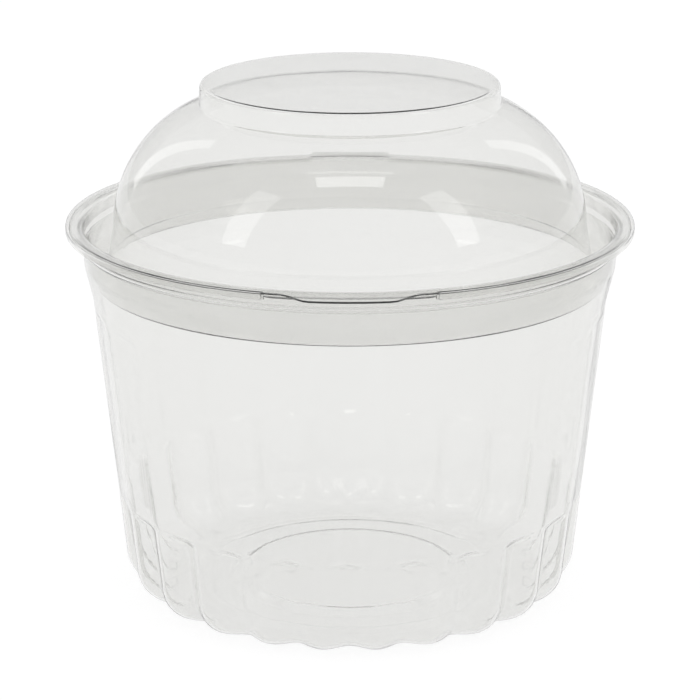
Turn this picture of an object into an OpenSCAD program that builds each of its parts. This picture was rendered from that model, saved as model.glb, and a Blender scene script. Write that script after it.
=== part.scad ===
// Clear food bowl with a domed lid, formed from plastic sheet.
// The lid is hinged to the bowl's rim by a film at the back (+Y) and lifts by a tab at the front (-Y).
// Origin: centre of the standing face, +Z up.

/* [Rim] */
// Outer diameter of the closed rim
rim_d = 122; // [110:1:140]
// Height of the closed rim's top face above the standing face
rim_top = 82.7; // [62:0.1:110]
// Depth of the lid's turned-down edge
skirt_h = 1.6; // [1:0.1:2.5]
// Depth of the bowl's turned-down edge
lip_h = 1.2; // [0.8:0.1:2]
// Width of the rim, from its outer edge to the outer face of the seat
rim_w = 2.7; // [2.4:0.1:6]

/* [Sheet] */
// Thickness of the bowl's wall
bowl_sheet = 0.45; // [0.35:0.05:0.7]
// Thickness of the lid's wall
lid_sheet = 0.4; // [0.3:0.05:0.6]
// Clearance between the lid's plug or skirt and the bowl
fit_gap = 0.35; // [0.3:0.05:0.6]
// Clearance under the lid's flange
rest_gap = 0.1; // [0.05:0.05:0.2]

/* [Bowl] */
// Depth of the wider seat at the top of the neck, below the rim
seat_h = 4.2; // [3:0.1:5.5]
// Step from the seat in to the neck, on the radius
seat_step = 0.8; // [0.5:0.1:1.5]
// Taper of the neck, on the radius
neck_taper = 0.3; // [0.1:0.1:0.8]
// Depth of the neck's lower end below the rim
neck_h = 8.9; // [7.5:0.1:12]
// Height of the sloping shoulder under the neck
shoulder_h = 7.3; // [5:0.1:12]
// Run of the shoulder inwards, on the radius
shoulder_in = 1.7; // [1:0.1:4]
// Taper of the fluted wall, on the radius
wall_taper = 6.8; // [3:0.1:9]
// Radius of the round at the foot
foot_round = 8.9; // [5:0.1:11]
// Width of the ring that the bowl stands on, at a flute's crest
stand_w = 5; // [4:0.1:8]
// Height of the base plate inside the standing ring
base_rise = 0.4; // [0.3:0.1:1.5]
// Distance from the standing ring in to the raised panel
panel_in = 10; // [6:0.5:16]
// Height of the raised panel above the base plate
panel_rise = 1.1; // [0.6:0.1:3]

/* [Flutes] */
// Number of flutes round the wall
flutes = 24; // [16:1:36]
// Depth of the shallow flutes on the upper wall
flute_depth = 0.5; // [0.3:0.05:0.9]
// Height at which the flutes step in
step_z = 23; // [16:0.5:34]
// Depth of the grooves just below the step
step_groove = 1.9; // [1:0.1:2.1]
// Depth of the grooves at the foot
foot_groove = 2.4; // [2.1:0.1:3]

/* [Lid] */
// Depth of the plug below the rim's top face
plug_h = 12.8; // [11:0.1:14]
// Run of the plug's lower part inwards, on the radius
plug_in = 1.5; // [1:0.1:3]
// Width of the channel between the plug's lower edge and the dome
channel_w = 4; // [2.5:0.1:8]
// Depth below the rim at which the dome's wall starts
dome_foot_h = 8.8; // [6:0.1:10]
// Radius of the dome's round shoulder
dome_round = 28.2; // [22:0.1:32]
// Height below the rim at which the round shoulder starts
dome_spring_h = 1.6; // [0:0.1:4]
// Diameter of the flat crown
crown_d = 63.8; // [50:0.2:70]
// Height of the crown above the rim
crown_h = 29.6; // [28:0.1:38]

/* [Tabs and hinge] */
// Reach of the lid's lift tab beyond the rim
tab_out = 4.2; // [3:0.1:8]
// Width of the lift tab at its tip
tab_tip_w = 16; // [10:1:24]
// Width of the lift tab where it leaves the rim
tab_root_w = 28; // [25:1:32]
// Reach of the bowl's thumb ledge beyond its flange
ledge_out = 1.2; // [0.8:0.1:2]
// Width of the bowl's thumb ledge
ledge_w = 34; // [33:1:40]
// Width of the film hinge
hinge_w = 18; // [12:1:26]
// Distance of the fold line from the rim
hinge_out = 2.4; // [1.8:0.1:4]
// Thickness left in the sheet at the fold line
fold_sheet = 0.2; // [0.15:0.05:0.3]

/* [Hidden] */
$fn = 180;

rim_r = rim_d / 2;
lid_under = rim_top - lid_sheet;
bowl_top = lid_under - rest_gap;
// The fold line; each half of the hinge ends just short of it, thins towards it and starts in its flange
fold_y = rim_r + hinge_out;
fold_gap = 0.1;
thin_run = 0.6;
skirt_in = rim_r - lid_sheet;
bowl_rim_r = skirt_in - fit_gap;
seat_r = rim_r - rim_w;
seat_z = rim_top - seat_h;
neck_r = seat_r - seat_step;
neck_foot_r = neck_r - neck_taper;
neck_z = rim_top - neck_h;
wall_top = neck_z - shoulder_h;
wall_top_r = neck_foot_r - shoulder_in;
wall_foot_r = wall_top_r - wall_taper;

// Plain wall between the shoulder and the flutes, and the lengths over which the flutes start and step in
plain_h = 1.2;
flute_run = 1.6;
step_run = 0.8;
// The fluted wall runs this far into the plain wall above it and the base plate inside it
seam_lap = 0.9;
// Part of the sheet, on either face, that the fluted wall stays inside at its seams
seam_inset = 0.1;
// Width of the slope from the standing ring up to the base plate, and of the slope up to the raised panel
base_slope = 1.5;
panel_slope = 0.6;
plain_z = wall_top - plain_h;
flute_top = plain_z - 0.4;

// Plane geometry for sheet sections
function unit(v) = v / norm(v);
function normal(a, b) = let (d = unit(b - a)) [-d[1], d[0]];
function turn(from, to) = ((to - from + 540) % 360) - 180;
function arc(centre, rad, from, to, steps) =
    [for (k = [0:steps]) let (a = from + (to - from) * k / steps) centre + rad * [cos(a), sin(a)]];

// Corner b between a and c, rounded to the radius rad
function rounded(a, b, c, rad) =
    let (
        u = unit(a - b),
        w = unit(c - b),
        half = acos(u * w) / 2,
        centre = b + unit(u + w) * rad / sin(half),
        p = b + u * rad / tan(half) - centre,
        q = b + w * rad / tan(half) - centre,
        from = atan2(p[1], p[0]),
        sweep = turn(from, atan2(q[1], q[0])),
        steps = max(2, ceil(abs(sweep) / 15))
    )
    arc(centre, rad, from, from + sweep, steps);

// Path through corners [x, y, radius]; the radius of the first and last corner isn't used
function rounded_path(k) =
    [for (i = [0:len(k) - 1])
        let (b = [k[i][0], k[i][1]])
        each (i == 0 || i == len(k) - 1 || k[i][2] == 0) ? [b]
            : rounded([k[i - 1][0], k[i - 1][1]], b, [k[i + 1][0], k[i + 1][1]], k[i][2])];

// The same path, moved sideways by the thickness t to the left of its direction
function moved_path(p, t) =
    [for (i = [0:len(p) - 1])
        let (
            before = normal(p[max(i - 1, 0)], p[max(i, 1)]),
            after = normal(p[min(i, len(p) - 2)], p[min(i + 1, len(p) - 1)])
        )
        p[i] + t * (before + after) / (1 + before * after)];

module sheet_section(path, t) {
    other = moved_path(path, t);
    last = len(other) - 1;
    polygon(concat(path, [for (i = [0:last]) other[last - i]]));
}

// Outer radius of the fluted wall at a flute's crest
function wall_r(z) = wall_foot_r + (wall_top_r - wall_foot_r) * z / wall_top;

// Centre of the foot's round, and the ring that the bowl stands on
corner_r = wall_r(foot_round) - foot_round;
stand_r = corner_r - stand_w;
plate_r = stand_r - base_slope;

// Samples round one flute, and the share of the groove's depth at the place u between two crests
per = 8;
function flute_share(u) = (1 - cos(360 * u)) / 2;

// Rings of one face of the fluted wall, from the top to the base plate: [radius, height, groove depth]
// side is 0 on the outer face and 1 on the inner face
function wall_rings(side) =
    let (
        s = side * bowl_sheet,
        seam = seam_inset * (1 - 2 * side),
        rad = foot_round - s
    )
    concat(
        [for (z = [plain_z + seam_lap, plain_z - seam_inset]) [wall_r(z) - s - seam, z, 0]],
        [for (k = [
            [flute_top, 0],
            [flute_top - flute_run, flute_depth],
            [step_z, flute_depth],
            [step_z - step_run, step_groove],
            [foot_round, foot_groove]
        ]) [wall_r(k[0]) - s, k[0], k[1]]],
        [for (a = [22.5:22.5:90])
            [corner_r + rad * cos(a), foot_round - rad * sin(a), foot_groove]],
        [[stand_r, s, 0]],
        [for (r = [plate_r + seam_inset, plate_r - seam_lap]) [r, base_rise + s + seam, 0]]
    );

// Fluted wall and foot, one closed skin of rings
module fluted_wall() {
    outer = wall_rings(0);
    inner = wall_rings(1);
    last = len(inner) - 1;
    rings = concat(outer, [for (i = [0:last]) inner[last - i]]);
    count = flutes * per;
    total = len(rings);
    points = [for (ring = rings, j = [0:count - 1])
        let (
            turns = (j / per + 0.5) / flutes,
            r = ring[0] - ring[2] * flute_share(j / per)
        )
        [r * sin(360 * turns), -r * cos(360 * turns), ring[1]]];
    faces = [for (i = [0:total - 1], j = [0:count - 1])
        let (
            a = i * count + j,
            b = i * count + (j + 1) % count,
            c = (i + 1) % total * count + (j + 1) % count,
            d = (i + 1) % total * count + j
        )
        each [[a, b, c], [a, c, d]]];
    polyhedron(points, faces);
}

// Flange with its turned-down lip, stepped neck and shoulder
module bowl_rim() {
    path = rounded_path([
        [bowl_rim_r, bowl_top - lip_h, 0],
        [bowl_rim_r, bowl_top, 0.6],
        [seat_r - bowl_sheet, bowl_top, 0.9],
        [seat_r - bowl_sheet, seat_z + seat_step / 2, 0.8],
        [neck_r - bowl_sheet, seat_z - seat_step / 2, 0.8],
        [neck_foot_r - bowl_sheet, neck_z, 3],
        [wall_top_r - bowl_sheet, wall_top, 2],
        [wall_r(plain_z) - bowl_sheet, plain_z, 0]
    ]);
    rotate_extrude() sheet_section(path, bowl_sheet);
}

// Base plate with its raised panel
module bowl_base() {
    panel_r = stand_r - panel_in;
    path = rounded_path([
        [plate_r, base_rise, 0],
        [panel_r, base_rise, 0.7],
        [panel_r - panel_slope, base_rise + panel_rise, 0.4],
        [0, base_rise + panel_rise, 0]
    ]);
    rotate_extrude() sheet_section(path, -bowl_sheet);
}

// Half of the film hinge, a strip from the flange's edge at the radius r to the fold line
module hinge_strip(r, top, bottom, thin_top, thin_bottom) {
    root_y = sqrt(r * r - hinge_w * hinge_w / 4) - edge_in;
    end_y = fold_y - fold_gap;
    thin_y = end_y - thin_run;
    translate([-hinge_w / 2, 0, 0])
        rotate([90, 0, 90])
            linear_extrude(hinge_w)
                polygon([
                    [root_y, bottom + plate_inset], [thin_y, bottom + plate_inset], [end_y, thin_bottom],
                    [end_y, thin_top], [thin_y, top - plate_inset], [root_y, top - plate_inset]
                ]);
}

// Where a tab or the hinge leaves a flange, its turned-down edge stops and the flange is open this far in
edge_in = 0.8;
side_lap = 0.2;
// Plates and strips lie this far inside the faces of the flange that they run into
plate_inset = 0.02;

// Room in the flange's edge at the radius r, on one side of the bowl: -1 is the front and 1 the back
module edge_gap(r, width, side) {
    translate([0, 0, neck_z])
        linear_extrude(rim_top - neck_z + 1)
            difference() {
                translate([-width / 2, side > 0 ? 0 : -rim_d])
                    square([width, rim_d]);
                circle(r - edge_in);
            }
}

// Plate that closes the gap at the front, with a tab that stands out from the radius r
module tab_plate(bottom, sheet) {
    translate([0, 0, bottom + plate_inset])
        linear_extrude(sheet - 2 * plate_inset)
            children();
}
function tab_blend(x, tip, root) =
    let (u = min(1, max(0, (root - 2 * abs(x)) / (root - tip)))) u * u * (3 - 2 * u);
function tab_outline(r, out, tip, root, width) =
    let (steps = 32, back = r - edge_in - 0.4)
    concat(
        [for (k = [0:steps])
            let (x = width * (k / steps - 0.5))
            [x, -sqrt(r * r - x * x) - out * tab_blend(x, tip, root)]],
        [for (k = [steps:-1:0])
            let (x = width * (k / steps - 0.5))
            [x, -sqrt(back * back - x * x)]]
    );

module bowl() {
    color([0.9, 0.92, 0.91, 0.45]) {
        difference() {
            bowl_rim();
            edge_gap(bowl_rim_r, ledge_w - side_lap, -1);
            edge_gap(bowl_rim_r, hinge_w - side_lap, 1);
        }
        fluted_wall();
        bowl_base();
        hinge_strip(bowl_rim_r, bowl_top, bowl_top - bowl_sheet, bowl_top, bowl_top - fold_sheet);
        tab_plate(bowl_top - bowl_sheet, bowl_sheet)
            polygon(tab_outline(bowl_rim_r, ledge_out, ledge_w - 1, ledge_w, ledge_w));
    }
}

// Skirt, flange, plug, dome and crown of the lid, turned in one section
module lid_shell() {
    plug_r = neck_foot_r - bowl_sheet - fit_gap;
    plug_foot_r = plug_r - plug_in;
    dome_r = plug_foot_r - channel_w;
    inside_r = dome_r - lid_sheet;
    spring_z = rim_top - dome_spring_h;
    centre = [dome_r - dome_round, spring_z];
    rad = dome_round - lid_sheet;
    crown_in = rim_top + crown_h - lid_sheet;
    crown_r = crown_d / 2 - lid_sheet;
    shoulder_a = acos((crown_r + 1.5 - centre[0]) / rad);
    // Clearance above the step of the bowl's seat
    seat_gap = 0.25;
    path = concat(
        rounded_path([
            [skirt_in, rim_top - skirt_h, 0],
            [skirt_in, lid_under, 0.3],
            [seat_r - bowl_sheet - fit_gap, lid_under, 1.1],
            [seat_r - bowl_sheet - fit_gap, seat_z + seat_step / 2 + seat_gap, 0.8],
            [neck_r - bowl_sheet - fit_gap, seat_z - seat_step / 2 + seat_gap, 0.8],
            [plug_r, neck_z + 0.4, 2],
            [plug_foot_r, rim_top - plug_h, 0.6],
            [inside_r + 0.4, rim_top - dome_foot_h, 1],
            [inside_r, spring_z, 0]
        ]),
        arc(centre, rad, 4, shoulder_a, 16),
        rounded_path([
            centre + rad * [cos(shoulder_a + 1), sin(shoulder_a + 1)],
            [crown_r + 0.3, centre[1] + rad * sin(shoulder_a) + 0.5, 1],
            [crown_r, crown_in, 0.6],
            [0, crown_in, 0]
        ])
    );
    rotate_extrude() sheet_section(path, -lid_sheet);
}

module lid() {
    // The skirt stops clear of the bowl's thumb ledge and hinge
    front_gap = ledge_w + 2 * fit_gap;
    back_gap = hinge_w + 2 * fit_gap;
    color([0.93, 0.95, 0.94, 0.4]) {
        difference() {
            lid_shell();
            edge_gap(rim_r, front_gap, -1);
            edge_gap(rim_r, back_gap, 1);
        }
        hinge_strip(rim_r, rim_top, lid_under, lid_under + fold_sheet, lid_under);
        tab_plate(lid_under, lid_sheet)
            polygon(tab_outline(rim_r, tab_out, tab_tip_w, tab_root_w, front_gap + side_lap));
    }
}

bowl();
lid();
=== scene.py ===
from math import acos, atan2, ceil, cos, degrees, hypot, pi, radians, sin, sqrt, tan

import bmesh
import bpy
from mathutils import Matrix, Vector


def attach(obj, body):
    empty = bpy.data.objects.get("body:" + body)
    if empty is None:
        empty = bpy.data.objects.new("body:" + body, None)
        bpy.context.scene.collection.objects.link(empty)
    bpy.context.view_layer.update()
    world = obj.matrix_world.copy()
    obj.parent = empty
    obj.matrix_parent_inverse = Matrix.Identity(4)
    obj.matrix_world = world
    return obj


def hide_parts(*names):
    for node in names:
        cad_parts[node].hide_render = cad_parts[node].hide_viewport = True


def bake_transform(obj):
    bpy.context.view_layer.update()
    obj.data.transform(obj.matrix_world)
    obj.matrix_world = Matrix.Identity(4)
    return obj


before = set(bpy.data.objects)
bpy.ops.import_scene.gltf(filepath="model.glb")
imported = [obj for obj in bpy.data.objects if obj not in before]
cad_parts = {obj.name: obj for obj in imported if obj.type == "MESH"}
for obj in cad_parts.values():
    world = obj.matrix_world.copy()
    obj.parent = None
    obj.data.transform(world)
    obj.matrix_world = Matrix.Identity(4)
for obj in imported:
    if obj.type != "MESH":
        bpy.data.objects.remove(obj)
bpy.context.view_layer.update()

MM = 0.001

# Sizes in millimetres: those of the solids, with softer flutes, step, base and dome foot
RIM_R = 61.0
RIM_TOP = 82.7
LID_SHEET = 0.4
BOWL_SHEET = 0.45
FIT_GAP = 0.35
REST_GAP = 0.1
LID_UNDER = RIM_TOP - LID_SHEET
BOWL_TOP = LID_UNDER - REST_GAP
SKIRT_IN = RIM_R - LID_SHEET
SKIRT_H = 1.6
SKIRT_ROUND = 0.3
LIP_R = SKIRT_IN - FIT_GAP
LIP_H = 1.2
LIP_ROUND = 0.6
FLANGE_ROUND = 0.9
SEAT_R = 58.3
NECK_R = 57.5
SEAT_Z = 78.5
SEAT_STEP = 0.8
SEAT_ROUND = 0.8
NECK_FOOT_R = 57.2
NECK_Z = 73.8
NECK_ROUND = 3
WALL_TOP = 66.5
WALL_TOP_R = 55.5
WALL_TOP_ROUND = 2
WALL_FOOT_R = 48.7
PLAIN_Z = 65.3
FLUTE_TOP = 64.9
FLUTE_RUN = 1.6
FLUTE_DEPTH = 0.3
STEP_Z = 23.0
STEP_RUN = 2.2
STEP_GROOVE = 1.9
FOOT_ROUND = 8.9
FOOT_GROOVE = 2.4
STAND_W = 5.0
BASE_RISE = 0.4
BASE_SLOPE = 3.4
BASE_ROUND = 3
PANEL_R = 25.7
PANEL_SLOPE = 2.1
PANEL_RISE = 1.1
PANEL_FOOT_ROUND = 2
PANEL_TOP_ROUND = 1.6
PLUG_FOOT_R = 54.9
PLUG_H = 12.8
PLUG_SEAT_LIFT = 0.25
PLUG_NECK_LIFT = 0.4
PLUG_FLANGE_ROUND = 1.1
PLUG_NECK_ROUND = 2
PLUG_FOOT_ROUND = 0.6
DOME_IN = 50.5
DOME_FOOT_H = 8.8
DOME_FOOT_FLARE = 1.2
DOME_FOOT_ROUND = 1
DOME_ROUND = 28.2
SPRING_H = 1.6
CROWN_R = 31.9
CROWN_H = 29.6
CROWN_FOOT_RUN = 1.5
CROWN_FOOT_RISE = 0.5
CROWN_FOOT_ROUND = 1
CROWN_DRAFT = 0.3
CROWN_ROUND = 0.6
TAB_OUT = 4.2
TAB_TIP = 8.0
TAB_ROOT = 14.0
LEDGE_OUT = 1.2
LEDGE_TIP = 16.5
LEDGE_ROOT = 17.0
HINGE_HALF = 9.0
FOLD_Y = 63.4
FOLD_GAP = 0.1
FOLD_RUN = 0.6
FOLD_SHEET = 0.2
FILM_GAP = 0.01
FILM_OUT = 0.15

# How near a point lies to what it is on: an edge, a ring and the level of a face
SNAP = 0.002
RING_SNAP = 0.01
LEVEL_SNAP = 0.05

# How far the cuts across the flange reach inwards from its edge, and sideways from a tab
CUT_IN = 0.5
CUT_ASIDE = 4

# Points round the bowl: 24 flutes of 12 points
FLUTES = 24
PER_FLUTE = 12
ROUND = FLUTES * PER_FLUTE

FRONT, BACK = -1, 1
SMOOTH_ANGLE = 32


# Sections

def rounded_path(corners, arc_step=10.0):
    """Points of a section through corners (radius, height, rounding)."""
    points = []
    for i, (x, y, rounding) in enumerate(corners):
        here = Vector((x, y))
        if rounding == 0 or i in (0, len(corners) - 1):
            points.append(here)
            continue
        to_last = (Vector(corners[i - 1][:2]) - here).normalized()
        to_next = (Vector(corners[i + 1][:2]) - here).normalized()
        half = acos(max(-1.0, min(1.0, to_last.dot(to_next)))) / 2
        centre = here + (to_last + to_next).normalized() * rounding / sin(half)
        start = here + to_last * rounding / tan(half) - centre
        end = here + to_next * rounding / tan(half) - centre
        first = atan2(start.y, start.x)
        sweep = (atan2(end.y, end.x) - first + radians(540)) % radians(360) - radians(180)
        steps = max(3, ceil(abs(degrees(sweep)) / arc_step))
        points += arc(centre, rounding, degrees(first), degrees(first + sweep), steps)
    return points


def arc(centre, radius, first, last, steps):
    """Points on a circle of a section, from one angle to another, in degrees."""
    turns = [radians(first + (last - first) * k / steps) for k in range(steps + 1)]
    return [Vector(centre) + radius * Vector((cos(a), sin(a))) for a in turns]


def supported(path, reach=0.35):
    """The same section with a point near each end of its long lines, so that rounds shade as rounds."""
    points = [path[0]]
    for last, here in zip(path, path[1:]):
        run = here - last
        if run.length > 4 * reach:
            points += [last + run.normalized() * reach, here - run.normalized() * reach]
        points.append(here)
    return points


def wall_r(height):
    """Radius of the outer wall at a flute's crest."""
    return WALL_FOOT_R + (WALL_TOP_R - WALL_FOOT_R) * height / WALL_TOP


def eased(u):
    """A share from 0 to 1 with a gentle start and end."""
    return u * u * (3 - 2 * u)


def slide(first, last, steps):
    """Points (radius, height, depth) after first and up to last, with the depth eased."""
    return [(
        first[0] + (last[0] - first[0]) * k / steps,
        first[1] + (last[1] - first[1]) * k / steps,
        first[2] + (last[2] - first[2]) * eased(k / steps)) for k in range(1, steps + 1)]


# Work on one mesh in edit mode

def open_mesh(piece):
    mesh = bmesh.from_edit_mesh(piece.data)
    mesh.verts.ensure_lookup_table()
    return mesh


def pick_verts(piece, wanted):
    """Selects the vertices that wanted says yes to, and gives their numbers."""
    bpy.ops.mesh.select_mode(type="VERT")
    bpy.ops.mesh.select_all(action="DESELECT")
    mesh = open_mesh(piece)
    picked = [vert for vert in mesh.verts if wanted(vert)]
    for vert in picked:
        vert.select = True
    mesh.select_flush_mode()
    return [vert.index for vert in picked]


def pick_faces(piece, wanted):
    """Selects the faces that wanted says yes to, by their middle in millimetres."""
    bpy.ops.mesh.select_mode(type="FACE")
    bpy.ops.mesh.select_all(action="DESELECT")
    mesh = open_mesh(piece)
    for face in mesh.faces:
        face.select = wanted(face.calc_center_median() / MM)
    mesh.select_flush_mode()


def turned_skin(name, path):
    """A skin turned round the bowl's axis: a circle, extruded and resized ring by ring."""
    radius, height = path[0]
    bpy.ops.object.select_all(action="DESELECT")
    bpy.ops.mesh.primitive_circle_add(
        vertices=ROUND, radius=radius * MM, location=(0, 0, height * MM))
    piece = bpy.context.object
    piece.name = piece.data.name = name
    bpy.ops.object.transform_apply()
    bpy.ops.object.mode_set(mode="EDIT")
    bpy.ops.mesh.select_mode(type="VERT")
    bpy.ops.mesh.select_all(action="SELECT")
    for next_radius, next_height in path[1:]:
        bpy.ops.mesh.extrude_edges_move(
            TRANSFORM_OT_translate={"value": (0, 0, (next_height - height) * MM)})
        if next_radius == 0:
            bpy.ops.mesh.merge(type="CENTER")
            break
        share = next_radius / radius
        bpy.ops.transform.resize(value=(share, share, 1), center_override=(0, 0, 0))
        radius, height = next_radius, next_height
    return piece


def flute_step(vert):
    """Steps between a vertex and the nearest crest, 0 to 6; a groove's middle is at the front."""
    turn = degrees(atan2(vert.co.x, -vert.co.y)) * FLUTES / 360 + 0.5
    phase = round((turn % 1) * PER_FLUTE) % PER_FLUTE
    return min(phase, PER_FLUTE - phase)


def press_flutes(piece, rings):
    """Presses the grooves between the flutes into rings (radius, height, depth) of a skin."""
    half = PER_FLUTE // 2
    places = [(vert.index, vert.co.xy.length / MM, vert.co.z / MM, flute_step(vert))
              for vert in open_mesh(piece).verts]
    bpy.ops.mesh.select_mode(type="VERT")
    for radius, height, depth in rings:
        near = [(index, step) for index, r, z, step in places
                if abs(r - radius) < RING_SNAP and abs(z - height) < RING_SNAP]
        for wanted in range(1, half + 1):
            bpy.ops.mesh.select_all(action="DESELECT")
            mesh = open_mesh(piece)
            for index, step in near:
                mesh.verts[index].select = step == wanted
            mesh.select_flush_mode()
            groove = depth * (1 - cos(radians(180) * wanted / half)) / 2
            share = (radius - groove) / radius
            bpy.ops.transform.resize(value=(share, share, 1), center_override=(0, 0, 0))


def cut_across(piece, half, side, inner_r):
    """Cuts the flange on one side of the bowl at the distance half from its middle."""
    for x in (-half, half):
        pick_faces(piece, lambda at: at.y * side > 0 and hypot(at.x, at.y) > inner_r
                   and abs(at.x) < half + CUT_ASIDE)
        bpy.ops.mesh.bisect(plane_co=(x * MM, 0, 0), plane_no=(1, 0, 0))


def open_edge(piece, half, side, edge_r, top):
    """Takes the turned-down edge away over a tab's or hinge's width, and selects the flange's open edge."""
    pick_faces(piece, lambda at: at.y * side > 0 and abs(at.x) < half
               and hypot(at.x, at.y) > edge_r and at.z < top - SNAP / 2)
    bpy.ops.mesh.delete(type="FACE")
    pick_verts(piece, lambda vert: vert.is_boundary and vert.co.y * side > 0
               and abs(vert.co.x) / MM < half + SNAP and abs(vert.co.z / MM - top) < SNAP / 2)


def extend_flange(piece, half, place):
    """Extrudes the selected edge as far as half from the middle, and puts its points where place says."""
    for vert in open_mesh(piece).verts:
        if vert.select and abs(vert.co.x) / MM > half + SNAP:
            vert.select = False
    open_mesh(piece).select_flush_mode()
    bpy.ops.mesh.extrude_edges_move(TRANSFORM_OT_translate={"value": (0, 0, 0)})
    fresh = [vert.index for vert in open_mesh(piece).verts if vert.select]
    for index in fresh:
        bpy.ops.mesh.select_all(action="DESELECT")
        mesh = open_mesh(piece)
        mesh.verts[index].select = True
        mesh.select_flush_mode()
        x, y = mesh.verts[index].co.xy / MM
        new_x, new_y = place(x, y)
        bpy.ops.transform.translate(value=((new_x - x) * MM, (new_y - y) * MM, 0))
    mesh = open_mesh(piece)
    for index in fresh:
        mesh.verts[index].select = True
    mesh.select_flush_mode()


def on_circle(radius, side):
    """Moves a point straight out to a circle."""
    return lambda x, y: (x, side * sqrt(radius * radius - x * x))


def tab_edge(radius, out, tip, root):
    """The front edge of a tab that stands out from a circle."""
    def place(x, y):
        u = min(1, max(0, (root - abs(x)) / (root - tip)))
        return x, -sqrt(radius * radius - x * x) - out * eased(u)
    return place


def close_skin(piece, sheet, level):
    """Gives a skin the sheet's thickness, on the side away from the bowl's axis at that height."""
    bpy.ops.mesh.select_mode(type="VERT")
    bpy.ops.mesh.select_all(action="SELECT")
    bpy.ops.mesh.remove_doubles(threshold=SNAP * MM)
    bpy.ops.mesh.normals_make_consistent(inside=False)
    mesh = bmesh.from_edit_mesh(piece.data)
    face = min(mesh.faces, key=lambda f: abs(f.calc_center_median().z / MM - level))
    middle = face.calc_center_median()
    if face.normal.xy.dot(middle.xy) < 0:
        bpy.ops.mesh.flip_normals()
    bpy.ops.object.mode_set(mode="OBJECT")
    solid = piece.modifiers.new("sheet", "SOLIDIFY")
    solid.thickness = sheet * MM
    solid.offset = 1
    solid.use_even_offset = True
    solid.use_quality_normals = True
    bpy.ops.object.modifier_apply(modifier=solid.name)


def thin_fold(piece, level, shift):
    """Thins a hinge strip's end: moves the face of its last row that lies at that height."""
    bpy.ops.object.mode_set(mode="EDIT")
    pick_verts(piece, lambda vert: vert.co.y / MM > FOLD_Y - FOLD_GAP - RING_SNAP
               and abs(vert.co.z / MM - level) < LEVEL_SNAP)
    bpy.ops.transform.translate(value=(0, 0, shift * MM))
    bpy.ops.object.mode_set(mode="OBJECT")


def finish_piece(piece, material, body, nodes=()):
    """Shades a piece smooth, gives it its material and body, and hides the solids that it stands for."""
    bpy.ops.object.select_all(action="DESELECT")
    piece.select_set(True)
    bpy.context.view_layer.objects.active = piece
    bpy.ops.object.shade_smooth_by_angle(angle=radians(SMOOTH_ANGLE))
    piece.data.materials.clear()
    piece.data.materials.append(material)
    if body:
        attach(piece, body)
    if nodes:
        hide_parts(*nodes)


# The two shells

def bowl_shell(material):
    """Bowl: lip, flange, stepped neck, shoulder, fluted wall, scalloped foot and base."""
    inner = BOWL_SHEET
    rim = supported(rounded_path([
        (LIP_R, BOWL_TOP - LIP_H, 0),
        (LIP_R, BOWL_TOP, LIP_ROUND),
        (SEAT_R - inner, BOWL_TOP, FLANGE_ROUND),
        (SEAT_R - inner, SEAT_Z + SEAT_STEP / 2, SEAT_ROUND),
        (NECK_R - inner, SEAT_Z - SEAT_STEP / 2, SEAT_ROUND),
        (NECK_FOOT_R - inner, NECK_Z, NECK_ROUND),
        (WALL_TOP_R - inner, WALL_TOP, WALL_TOP_ROUND),
        (wall_r(PLAIN_Z) - inner, PLAIN_Z, 0),
    ]))
    foot_r = wall_r(FOOT_ROUND)
    corner_r = foot_r - FOOT_ROUND
    stand_r = corner_r - STAND_W
    stations = [(wall_r(z) - inner, z, depth) for z, depth in (
        (FLUTE_TOP, 0), (FLUTE_TOP - FLUTE_RUN, FLUTE_DEPTH), (STEP_Z, FLUTE_DEPTH),
        (STEP_Z - STEP_RUN, STEP_GROOVE), (FOOT_ROUND, FOOT_GROOVE))]
    wall = [stations[0]]
    for last, here, steps in zip(stations, stations[1:], (4, 12, 5, 5)):
        wall += slide(last, here, steps)
    wall += [(*at, FOOT_GROOVE) for at in
             arc((corner_r, FOOT_ROUND), FOOT_ROUND - inner, 0, -90, 12)[1:]]
    wall += slide(wall[-1], (stand_r, inner, 0), 5)
    base = supported(rounded_path([
        (stand_r, inner, 0),
        (stand_r - BASE_SLOPE, BASE_RISE + inner, BASE_ROUND),
        (PANEL_R, BASE_RISE + inner, PANEL_FOOT_ROUND),
        (PANEL_R - PANEL_SLOPE, BASE_RISE + PANEL_RISE + inner, PANEL_TOP_ROUND),
        (0, BASE_RISE + PANEL_RISE + inner, 0),
    ]))
    skin = turned_skin("bowl_shell", rim + [Vector(at[:2]) for at in wall] + base[1:])
    press_flutes(skin, [at for at in wall if at[2] > 0])
    edge_r = LIP_R - LIP_ROUND
    cut_across(skin, LEDGE_ROOT, FRONT, edge_r - CUT_IN)
    open_edge(skin, LEDGE_ROOT, FRONT, edge_r, BOWL_TOP)
    extend_flange(skin, LEDGE_ROOT, on_circle(LIP_R, FRONT))
    extend_flange(skin, LEDGE_ROOT, tab_edge(LIP_R, LEDGE_OUT, LEDGE_TIP, LEDGE_ROOT))
    cut_across(skin, HINGE_HALF, BACK, edge_r - CUT_IN)
    open_edge(skin, HINGE_HALF, BACK, edge_r, BOWL_TOP)
    extend_flange(skin, HINGE_HALF, on_circle(LIP_R, BACK))
    extend_flange(skin, HINGE_HALF, lambda x, y: (x, FOLD_Y - FOLD_GAP - FOLD_RUN))
    extend_flange(skin, HINGE_HALF, lambda x, y: (x, FOLD_Y - FOLD_GAP))
    close_skin(skin, BOWL_SHEET, (STEP_Z + FLUTE_TOP) / 2)
    thin_fold(skin, BOWL_TOP - BOWL_SHEET, BOWL_SHEET - FOLD_SHEET)
    finish_piece(skin, material, "bowl", ["bowl"])
    return skin


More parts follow.
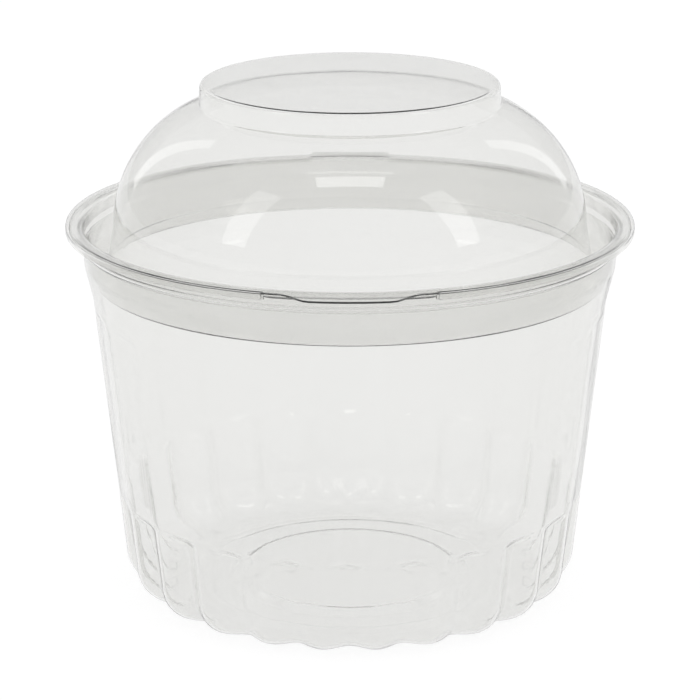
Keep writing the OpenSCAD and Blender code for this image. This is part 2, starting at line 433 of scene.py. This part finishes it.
def lid_shell(material):
    """Lid: turned-down edge, flange, plug, channel, dome and crown, with its tab and hinge strip."""
    spring_z = RIM_TOP - SPRING_H
    centre = Vector((DOME_IN + LID_SHEET - DOME_ROUND, spring_z))
    dome_r = DOME_ROUND - LID_SHEET
    crown_in = RIM_TOP + CROWN_H - LID_SHEET
    crown_r = CROWN_R - LID_SHEET
    shoulder = degrees(acos((crown_r + CROWN_FOOT_RUN - centre.x) / dome_r))
    shoulder_z = centre.y + dome_r * sin(radians(shoulder))
    seat_z = SEAT_Z + PLUG_SEAT_LIFT
    path = supported(rounded_path([
        (SKIRT_IN, RIM_TOP - SKIRT_H, 0),
        (SKIRT_IN, LID_UNDER, SKIRT_ROUND),
        (SEAT_R - BOWL_SHEET - FIT_GAP, LID_UNDER, PLUG_FLANGE_ROUND),
        (SEAT_R - BOWL_SHEET - FIT_GAP, seat_z + SEAT_STEP / 2, SEAT_ROUND),
        (NECK_R - BOWL_SHEET - FIT_GAP, seat_z - SEAT_STEP / 2, SEAT_ROUND),
        (NECK_FOOT_R - BOWL_SHEET - FIT_GAP, NECK_Z + PLUG_NECK_LIFT, PLUG_NECK_ROUND),
        (PLUG_FOOT_R, RIM_TOP - PLUG_H, PLUG_FOOT_ROUND),
        (DOME_IN + DOME_FOOT_FLARE, RIM_TOP - DOME_FOOT_H, DOME_FOOT_ROUND),
        (DOME_IN, spring_z, 0),
    ]))
    path += arc(centre, dome_r, 2, shoulder, 33)
    path += supported(rounded_path([
        tuple(centre + dome_r * Vector((cos(radians(shoulder + 1)), sin(radians(shoulder + 1))))) + (0,),
        (crown_r + CROWN_DRAFT, shoulder_z + CROWN_FOOT_RISE, CROWN_FOOT_ROUND),
        (crown_r, crown_in, CROWN_ROUND),
        (0, crown_in, 0),
    ]))
    skin = turned_skin("lid_shell", path)
    edge_r = SKIRT_IN - SKIRT_ROUND
    gap = LEDGE_ROOT + FIT_GAP
    cut_across(skin, gap, FRONT, edge_r - CUT_IN)
    cut_across(skin, TAB_ROOT, FRONT, edge_r - CUT_IN)
    open_edge(skin, gap, FRONT, edge_r, LID_UNDER)
    extend_flange(skin, gap, on_circle(RIM_R, FRONT))
    extend_flange(skin, TAB_ROOT, tab_edge(RIM_R, TAB_OUT, TAB_TIP, TAB_ROOT))
    gap = HINGE_HALF + FIT_GAP
    cut_across(skin, gap, BACK, edge_r - CUT_IN)
    cut_across(skin, HINGE_HALF, BACK, edge_r - CUT_IN)
    open_edge(skin, gap, BACK, edge_r, LID_UNDER)
    extend_flange(skin, gap, on_circle(RIM_R, BACK))
    extend_flange(skin, HINGE_HALF, lambda x, y: (x, FOLD_Y - FOLD_GAP - FOLD_RUN))
    extend_flange(skin, HINGE_HALF, lambda x, y: (x, FOLD_Y - FOLD_GAP))
    close_skin(skin, LID_SHEET, spring_z + DOME_ROUND / 3)
    thin_fold(skin, RIM_TOP, FOLD_SHEET - LID_SHEET)
    finish_piece(skin, material, "lid", ["lid"])
    return skin


def hinge_film(material):
    """Thin film round the fold: a face as wide and thick as a strip's end, spun half a turn."""
    level = LID_UNDER - REST_GAP / 2
    start_y = FOLD_Y - FOLD_GAP + FILM_GAP
    spun_out = (REST_GAP + 2 * FOLD_SHEET) / 2
    bpy.ops.object.select_all(action="DESELECT")
    bpy.ops.mesh.primitive_plane_add(
        size=1, rotation=(radians(90), 0, 0),
        location=(0, start_y * MM, (BOWL_TOP - FOLD_SHEET / 2) * MM))
    film = bpy.context.object
    film.name = film.data.name = "hinge_film"
    film.scale = (2 * HINGE_HALF * MM, FOLD_SHEET * MM, 1)
    bpy.ops.object.transform_apply()
    bpy.ops.object.mode_set(mode="EDIT")
    bpy.ops.mesh.select_mode(type="FACE")
    bpy.ops.mesh.select_all(action="SELECT")
    bpy.ops.mesh.spin(steps=12, angle=radians(180), center=(0, start_y * MM, level * MM), axis=(-1, 0, 0))
    bpy.ops.mesh.select_all(action="SELECT")
    bpy.ops.mesh.normals_make_consistent(inside=False)
    bpy.ops.transform.resize(value=(1, FILM_OUT / spun_out, 1), center_override=(0, start_y * MM, 0))
    bpy.ops.object.mode_set(mode="OBJECT")
    finish_piece(film, material, None)
    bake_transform(film)
    return film


# Materials

# Colours of the clear sheet, seen straight on and edge-on
BOWL_TINT, BOWL_EDGE_TINT = (0.896, 0.896, 0.888), (0.85, 0.85, 0.835)
LID_TINT, LID_EDGE_TINT = (0.905, 0.905, 0.897), (0.86, 0.86, 0.845)
SHEET_IOR = 1.5
EDGE_BLEND = 0.25
RIPPLE_HEIGHT = 0.05


def drawn_sheet_group():
    """Node group: drawn sheet, with faint thicker bands, haze and ripples."""
    group = bpy.data.node_groups.new("drawn_sheet", "ShaderNodeTree")
    face = group.interface
    for name, value in (("Shade", 0.03), ("Ripple", 1), ("Roughness", 0.03)):
        socket = face.new_socket(name, in_out="INPUT", socket_type="NodeSocketFloat")
        socket.default_value = value
    for name in ("Shade", "Roughness", "Height"):
        face.new_socket(name, in_out="OUTPUT", socket_type="NodeSocketFloat")
    nodes, links = group.nodes, group.links
    entry = nodes.new("NodeGroupInput")
    out = nodes.new("NodeGroupOutput")
    place = nodes.new("ShaderNodeTexCoord")

    def noise(scale, detail, stretch):
        spread = nodes.new("ShaderNodeMapping")
        spread.inputs["Scale"].default_value = stretch
        links.new(place.outputs["Object"], spread.inputs["Vector"])
        made = nodes.new("ShaderNodeTexNoise")
        made.inputs["Scale"].default_value = scale
        made.inputs["Detail"].default_value = detail
        links.new(spread.outputs["Vector"], made.inputs["Vector"])
        return made.outputs["Fac"]

    def worked_out(kind, a, b):
        node = nodes.new("ShaderNodeMath")
        node.operation = kind
        for socket, value in zip(node.inputs, (a, b)):
            if hasattr(value, "is_linked"):
                links.new(value, socket)
            else:
                socket.default_value = value
        return node.outputs[0]

    bands = noise(28, 3, (1, 1, 0.45))
    haze = noise(420, 2, (1, 1, 0.3))
    centred = worked_out("SUBTRACT", bands, 0.5)
    links.new(worked_out("MULTIPLY", centred, entry.outputs["Shade"]), out.inputs["Shade"])
    rough = worked_out("MULTIPLY", worked_out("ADD", haze, bands), entry.outputs["Roughness"])
    links.new(rough, out.inputs["Roughness"])
    ripple = noise(75, 1, (1, 1, 0.35))
    links.new(worked_out("MULTIPLY", ripple, entry.outputs["Ripple"]), out.inputs["Height"])
    return group


def clear_sheet(name, group, tint, edge_tint, ripple):
    """Clear sheet: a pale tint that deepens where it is seen edge-on."""
    material = bpy.data.materials.new(name)
    material.use_nodes = True
    nodes, links = material.node_tree.nodes, material.node_tree.links
    shader = nodes["Principled BSDF"]
    shader.inputs["Transmission Weight"].default_value = 1
    shader.inputs["IOR"].default_value = SHEET_IOR
    shader.inputs["Metallic"].default_value = 0
    drawn = nodes.new("ShaderNodeGroup")
    drawn.node_tree = group
    drawn.inputs["Ripple"].default_value = ripple
    links.new(drawn.outputs["Roughness"], shader.inputs["Roughness"])
    facing = nodes.new("ShaderNodeLayerWeight")
    facing.inputs["Blend"].default_value = EDGE_BLEND
    tinted = nodes.new("ShaderNodeMix")
    tinted.data_type = "RGBA"
    tinted.inputs["A"].default_value = (*tint, 1)
    tinted.inputs["B"].default_value = (*edge_tint, 1)
    links.new(facing.outputs["Facing"], tinted.inputs["Factor"])
    shaded = nodes.new("ShaderNodeHueSaturation")
    lift = nodes.new("ShaderNodeMath")
    lift.operation = "ADD"
    lift.inputs[1].default_value = 1
    links.new(drawn.outputs["Shade"], lift.inputs[0])
    links.new(lift.outputs[0], shaded.inputs["Value"])
    links.new(tinted.outputs["Result"], shaded.inputs["Color"])
    links.new(shaded.outputs["Color"], shader.inputs["Base Color"])
    bump = nodes.new("ShaderNodeBump")
    bump.inputs["Strength"].default_value = 1
    bump.inputs["Distance"].default_value = RIPPLE_HEIGHT * MM
    links.new(drawn.outputs["Height"], bump.inputs["Height"])
    links.new(bump.outputs["Normal"], shader.inputs["Normal"])
    return material


# The setting: how bright it is in a reflection and to the floor, as shares of the white behind the bowl
REFLECTED = 0.68
SOFT_LIGHT = 0.75

# The floor: how bright its plain white is, and how much of that white takes the place of its own shading
FLOOR_WHITE = 1.09
FLOOR_PLAIN = 0.84
FLOOR_SIZE = 8
FLOOR_DROP = 0.02

# The boxes stand this far, in metres, from a point on the bowl's axis
BOX_AWAY = 0.8
BOX_TARGET_Z = 0.09

# The camera of the photo: its lens, height of its aim, rise above level in degrees and distance
LENS = 143.69
SENSOR = 36
AIM_Z = 52.58
CAMERA_RISE = 17.38
CAMERA_AWAY = 610


def brightness(nodes, links, shares):
    """How bright the setting is to a ray: the largest share among the kinds that the ray is of."""
    path = nodes.new("ShaderNodeLightPath")
    last = path.outputs["Is Camera Ray"]
    for name, share in shares.items():
        part = nodes.new("ShaderNodeMath")
        part.operation = "MULTIPLY"
        part.inputs[1].default_value = share
        links.new(path.outputs[name], part.inputs[0])
        both = nodes.new("ShaderNodeMath")
        both.operation = "MAXIMUM"
        links.new(last, both.inputs[0])
        links.new(part.outputs[0], both.inputs[1])
        last = both.outputs[0]
    return last


def studio_world():
    world = bpy.data.worlds.new("studio")
    bpy.context.scene.world = world
    world.use_nodes = True
    nodes, links = world.node_tree.nodes, world.node_tree.links
    white = nodes["Background"]
    white.inputs["Color"].default_value = (1, 1, 1, 1)
    shares = {"Is Transmission Ray": 1, "Is Glossy Ray": REFLECTED, "Is Diffuse Ray": SOFT_LIGHT}
    links.new(brightness(nodes, links, shares), white.inputs["Strength"])


def studio_floor():
    bpy.ops.object.select_all(action="DESELECT")
    bpy.ops.mesh.primitive_plane_add(size=FLOOR_SIZE, location=(0, 0, -FLOOR_DROP * MM))
    floor = bpy.context.object
    floor.name = "floor"
    bpy.ops.object.transform_apply()
    material = bpy.data.materials.new("pale_floor")
    material.use_nodes = True
    nodes, links = material.node_tree.nodes, material.node_tree.links
    shader = nodes["Principled BSDF"]
    shader.inputs["Base Color"].default_value = (0.9, 0.9, 0.9, 1)
    shader.inputs["Roughness"].default_value = 0.9
    shader.inputs["Specular IOR Level"].default_value = 0.1
    white = nodes.new("ShaderNodeEmission")
    white.inputs["Strength"].default_value = FLOOR_WHITE
    share = nodes.new("ShaderNodeMath")
    share.operation = "MULTIPLY"
    share.inputs[1].default_value = FLOOR_PLAIN
    shares = {"Is Transmission Ray": 1, "Is Glossy Ray": REFLECTED}
    links.new(brightness(nodes, links, shares), share.inputs[0])
    mix = nodes.new("ShaderNodeMixShader")
    links.new(share.outputs[0], mix.inputs["Fac"])
    links.new(shader.outputs[0], mix.inputs[1])
    links.new(white.outputs[0], mix.inputs[2])
    links.new(mix.outputs[0], nodes["Material Output"].inputs["Surface"])
    floor.data.materials.append(material)


def softbox(name, azimuth, elevation, size, glow):
    """A box light round the bowl, of glow 1 for white; azimuth 0 is the camera's side."""
    target = Vector((0, 0, BOX_TARGET_Z))
    turn, rise = radians(azimuth), radians(elevation)
    light = bpy.data.lights.new(name, "AREA")
    light.shape = "RECTANGLE"
    light.size, light.size_y = size
    light.energy = glow * pi * size[0] * size[1]
    lamp = bpy.data.objects.new(name, light)
    bpy.context.scene.collection.objects.link(lamp)
    toward_box = Vector((sin(turn) * cos(rise), -cos(turn) * cos(rise), sin(rise)))
    lamp.location = target + BOX_AWAY * toward_box
    lamp.rotation_euler = (target - lamp.location).to_track_quat("-Z", "Y").to_euler()


def camera():
    lens = bpy.data.cameras.new("camera")
    lens.lens = LENS
    lens.sensor_width = SENSOR
    seen_from = bpy.data.objects.new("camera", lens)
    bpy.context.scene.collection.objects.link(seen_from)
    aim = Vector((0, 0, AIM_Z * MM))
    rise = radians(CAMERA_RISE)
    seen_from.location = aim + CAMERA_AWAY * MM * Vector((0, -cos(rise), sin(rise)))
    seen_from.rotation_euler = (aim - seen_from.location).to_track_quat("-Z", "Y").to_euler()
    bpy.context.scene.camera = seen_from


drawn_sheet = drawn_sheet_group()
bowl_shell(clear_sheet("bowl_clear_sheet", drawn_sheet, BOWL_TINT, BOWL_EDGE_TINT, ripple=1))
lid_sheet = clear_sheet("lid_clear_sheet", drawn_sheet, LID_TINT, LID_EDGE_TINT, ripple=0.7)
lid_shell(lid_sheet)
hinge_film(lid_sheet)

studio_world()
studio_floor()
softbox("left_box", -56, 31, (0.18, 0.62), 0.95)
softbox("right_box", 57, 31, (0.18, 0.62), 1.0)
softbox("left_rear_box", -137, 23, (0.1, 0.56), 0.5)
softbox("right_rear_box", 137, 23, (0.1, 0.56), 0.5)
softbox("top_box", 0, 73.5, (0.34, 0.14), 1.9)
camera()

scene = bpy.context.scene
scene.view_settings.view_transform = "Standard"
scene.cycles.use_denoising = True
scene.cycles.max_bounces = 40
scene.cycles.glossy_bounces = 6
scene.cycles.transmission_bounces = 40
scene.cycles.transparent_max_bounces = 16
